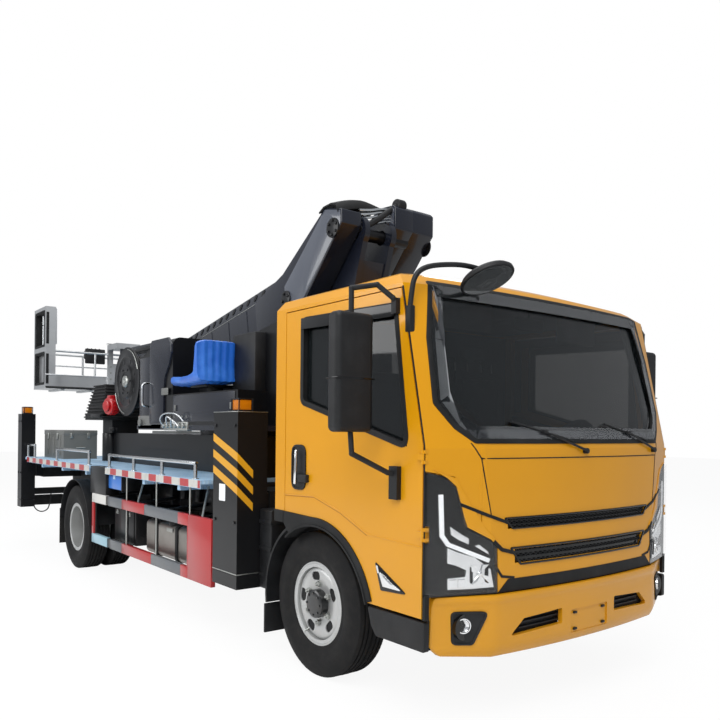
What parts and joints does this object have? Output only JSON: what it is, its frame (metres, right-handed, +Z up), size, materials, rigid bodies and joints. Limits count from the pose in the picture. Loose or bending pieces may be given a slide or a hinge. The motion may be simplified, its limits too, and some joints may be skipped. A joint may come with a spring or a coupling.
{
  "type": "cherry picker truck",
  "caption": "Forward-control truck with a telescopic boom on a slewing turret behind its cab, a basket on a level jib over the tail, and sliding outriggers with drop jacks.",
  "frame": {"origin": "on the ground under the middle of the overall box", "axes": "+X to the front of the truck, +Y to its left, +Z up"},
  "size_m": [7.6498, 2.72, 3.05],
  "materials": {
    "cab_yellow": "gloss paint over steel, orange-yellow",
    "black_paint": "satin black paint over steel",
    "boom_paint": "gloss dark grey paint over steel",
    "deck_blue": "light blue paint over chequered steel plate",
    "frame_paint": "dark grey chassis paint",
    "rim_silver": "silver paint over pressed steel",
    "tyre": "black ribbed truck tyre",
    "cast_grey": "dusty cast iron",
    "dark_plastic": "grained black plastic",
    "lamp": "clear lens over dark reflector in a black bezel",
    "red_lamp": "red, amber and clear lenses",
    "glass": "lightly tinted safety glass",
    "fabric": "dark grey woven seat cover",
    "seat_plastic": "blue moulded plastic",
    "aluminium": "bare brushed aluminium",
    "tank_metal": "rolled aluminium sheet",
    "tool_grey": "grey paint over sheet steel",
    "guard_grey": "grey paint with red and white tape",
    "chrome": "hard chrome",
    "cylinder_black": "gloss black paint over steel tube"
  },
  "bodies": {
    "chassis": {"chassis_frame": "frame_paint", "engine_block": "cast_grey", "front_axle": "cast_grey", "leaf_springs": "cast_grey", "rear_axle": "cast_grey", "subframe": "frame_paint", "deck": "deck_blue", "turret_base": "black_paint", "side_guards": "guard_grey", "fuel_tank": "tank_metal", "storage_boxes": "tool_grey", "power_pack": "dark_plastic", "rear_mudguards": "dark_plastic", "tail_lamps": "red_lamp", "cab_shell": "cab_yellow", "cab_front_panel": "cab_yellow", "front_lamps": "lamp", "cab_glass": "glass", "bumper": "cab_yellow", "grille": "dark_plastic", "cab_steps": "dark_plastic", "cab_seats": "fabric", "dashboard": "dark_plastic", "front_mirror": "dark_plastic"},
    "turret": {"turret": "boom_paint", "turret_cabinets": "boom_paint", "operator_seat": "seat_plastic"},
    "boom": {"boom_base": "boom_paint", "hose_reel": "black_paint"},
    "boom_section_2": {"boom_section_2": "boom_paint"},
    "boom_section_3": {"boom_section_3": "boom_paint"},
    "boom_section_4": {"boom_section_4": "boom_paint"},
    "lift_barrel": {"lift_barrel": "cylinder_black"},
    "lift_rod": {"lift_rod": "chrome"},
    "jib": {"jib": "boom_paint"},
    "basket": {"basket": "aluminium"},
    "knuckle_left": {"knuckle_left": "cast_grey"},
    "wheel_front_left": {"rim_front_left": "rim_silver", "tyre_front_left": "tyre"},
    "wheels_rear_left": {"rim_rear_left": "rim_silver", "tyres_rear_left": "tyre"},
    "door_left": {"door_left": "cab_yellow", "door_glass_left": "glass", "door_mirror_left": "dark_plastic"},
    "outrigger_front_left": {"outrigger_front_left": "black_paint"},
    "jack_front_left": {"jack_front_left": "black_paint"},
    "outrigger_rear_left": {"outrigger_rear_left": "black_paint"},
    "jack_rear_left": {"jack_rear_left": "black_paint"},
    "knuckle_right": {"knuckle_right": "cast_grey"},
    "wheel_front_right": {"rim_front_right": "rim_silver", "tyre_front_right": "tyre"},
    "wheels_rear_right": {"rim_rear_right": "rim_silver", "tyres_rear_right": "tyre"},
    "door_right": {"door_right": "cab_yellow", "door_glass_right": "glass", "door_mirror_right": "dark_plastic"},
    "outrigger_front_right": {"outrigger_front_right": "black_paint"},
    "jack_front_right": {"jack_front_right": "black_paint"},
    "outrigger_rear_right": {"outrigger_rear_right": "black_paint"},
    "jack_rear_right": {"jack_rear_right": "black_paint"}
  },
  "joints": [
    {"name": "steer_left", "type": "hinge", "parent": "chassis", "child": "knuckle_left", "pos_m": [2.665, 0.738, 0.415], "axis": [0, 0, 1], "range_deg": [-35, 35]},
    {"name": "steer_right", "type": "hinge", "parent": "chassis", "child": "knuckle_right", "pos_m": [2.665, -0.738, 0.415], "axis": [0, 0, 1], "range_deg": [-35, 35]},
    {"name": "spin_front_left", "type": "hinge", "parent": "knuckle_left", "child": "wheel_front_left", "pos_m": [2.665, 0.86, 0.415], "axis": [0, 1, 0], "continuous": true},
    {"name": "spin_front_right", "type": "hinge", "parent": "knuckle_right", "child": "wheel_front_right", "pos_m": [2.665, -0.86, 0.415], "axis": [0, 1, 0], "continuous": true},
    {"name": "spin_rear_left", "type": "hinge", "parent": "chassis", "child": "wheels_rear_left", "pos_m": [-1.435, 0.845, 0.415], "axis": [0, 1, 0], "continuous": true},
    {"name": "spin_rear_right", "type": "hinge", "parent": "chassis", "child": "wheels_rear_right", "pos_m": [-1.435, -0.845, 0.415], "axis": [0, 1, 0], "continuous": true},
    {"name": "door_left_hinge", "type": "hinge", "parent": "chassis", "child": "door_left", "pos_m": [3.64, 1.039, 1.11], "axis": [0, 0, -1], "range_deg": [0, 65]},
    {"name": "door_right_hinge", "type": "hinge", "parent": "chassis", "child": "door_right", "pos_m": [3.64, -1.039, 1.11], "axis": [0, 0, 1], "range_deg": [0, 65]},
    {"name": "outrigger_front_left_slide", "type": "slide", "parent": "chassis", "child": "outrigger_front_left", "axis": [0, 1, 0], "range_m": [0, 1]},
    {"name": "jack_front_left_drop", "type": "slide", "parent": "outrigger_front_left", "child": "jack_front_left", "axis": [0, 0, -1], "range_m": [0, 0.385]},
    {"name": "outrigger_rear_left_slide", "type": "slide", "parent": "chassis", "child": "outrigger_rear_left", "axis": [0, 1, 0], "range_m": [0, 1]},
    {"name": "jack_rear_left_drop", "type": "slide", "parent": "outrigger_rear_left", "child": "jack_rear_left", "axis": [0, 0, -1], "range_m": [0, 0.42]},
    {"name": "outrigger_front_right_slide", "type": "slide", "parent": "chassis", "child": "outrigger_front_right", "axis": [0, -1, 0], "range_m": [0, 1]},
    {"name": "jack_front_right_drop", "type": "slide", "parent": "outrigger_front_right", "child": "jack_front_right", "axis": [0, 0, -1], "range_m": [0, 0.385]},
    {"name": "outrigger_rear_right_slide", "type": "slide", "parent": "chassis", "child": "outrigger_rear_right", "axis": [0, -1, 0], "range_m": [0, 1]},
    {"name": "jack_rear_right_drop", "type": "slide", "parent": "outrigger_rear_right", "child": "jack_rear_right", "axis": [0, 0, -1], "range_m": [0, 0.42]},
    {"name": "slew", "type": "hinge", "parent": "chassis", "child": "turret", "pos_m": [0.335, 0, 1.4], "axis": [0, 0, 1], "continuous": true},
    {"name": "boom_lift", "type": "hinge", "parent": "turret", "child": "boom", "pos_m": [1.928, 0, 2.84], "axis": [0, 1, 0], "range_deg": [0, 75]},
    {"name": "boom_extend_2", "type": "slide", "parent": "boom", "child": "boom_section_2", "axis": [-0.9839, 0, -0.1788], "range_m": [0, 1.8]},
    {"name": "boom_extend_3", "type": "slide", "parent": "boom_section_2", "child": "boom_section_3", "axis": [-0.9839, 0, -0.1788], "range_m": [0, 1.8]},
    {"name": "boom_extend_4", "type": "slide", "parent": "boom_section_3", "child": "boom_section_4", "axis": [-0.9839, 0, -0.1788], "range_m": [0, 1.8]},
    {"name": "lift_barrel_turn", "type": "hinge", "parent": "turret", "child": "lift_barrel", "pos_m": [0.565, 0, 1.52], "axis": [0, -1, 0], "range_deg": [0, 15.84]},
    {"name": "lift_rod_slide", "type": "slide", "parent": "lift_barrel", "child": "lift_rod", "axis": [0.6395, 0, 0.7688], "range_m": [0, 0.80118]},
    {"name": "jib_level", "type": "hinge", "parent": "boom_section_4", "child": "jib", "pos_m": [-1.55364, 0, 1.8922], "axis": [0, -1, 0], "range_deg": [0, 75]},
    {"name": "basket_turn", "type": "hinge", "parent": "jib", "child": "basket", "pos_m": [-3.035, 0, 2.44], "axis": [0, 0, 1], "range_deg": [-90, 90]}
  ],
  "couplings": [
    {"joint": "steer_right", "follows": "steer_left", "ratio": 1},
    {"joint": "boom_extend_3", "follows": "boom_extend_2", "ratio": 1},
    {"joint": "boom_extend_4", "follows": "boom_extend_2", "ratio": 1},
    {"joint": "lift_barrel_turn", "follows": "boom_lift", "ratio": 0.21106},
    {"joint": "lift_rod_slide", "follows": "boom_lift", "m_per_rad": 0.61168},
    {"joint": "jib_level", "follows": "boom_lift", "ratio": 1}
  ]
}
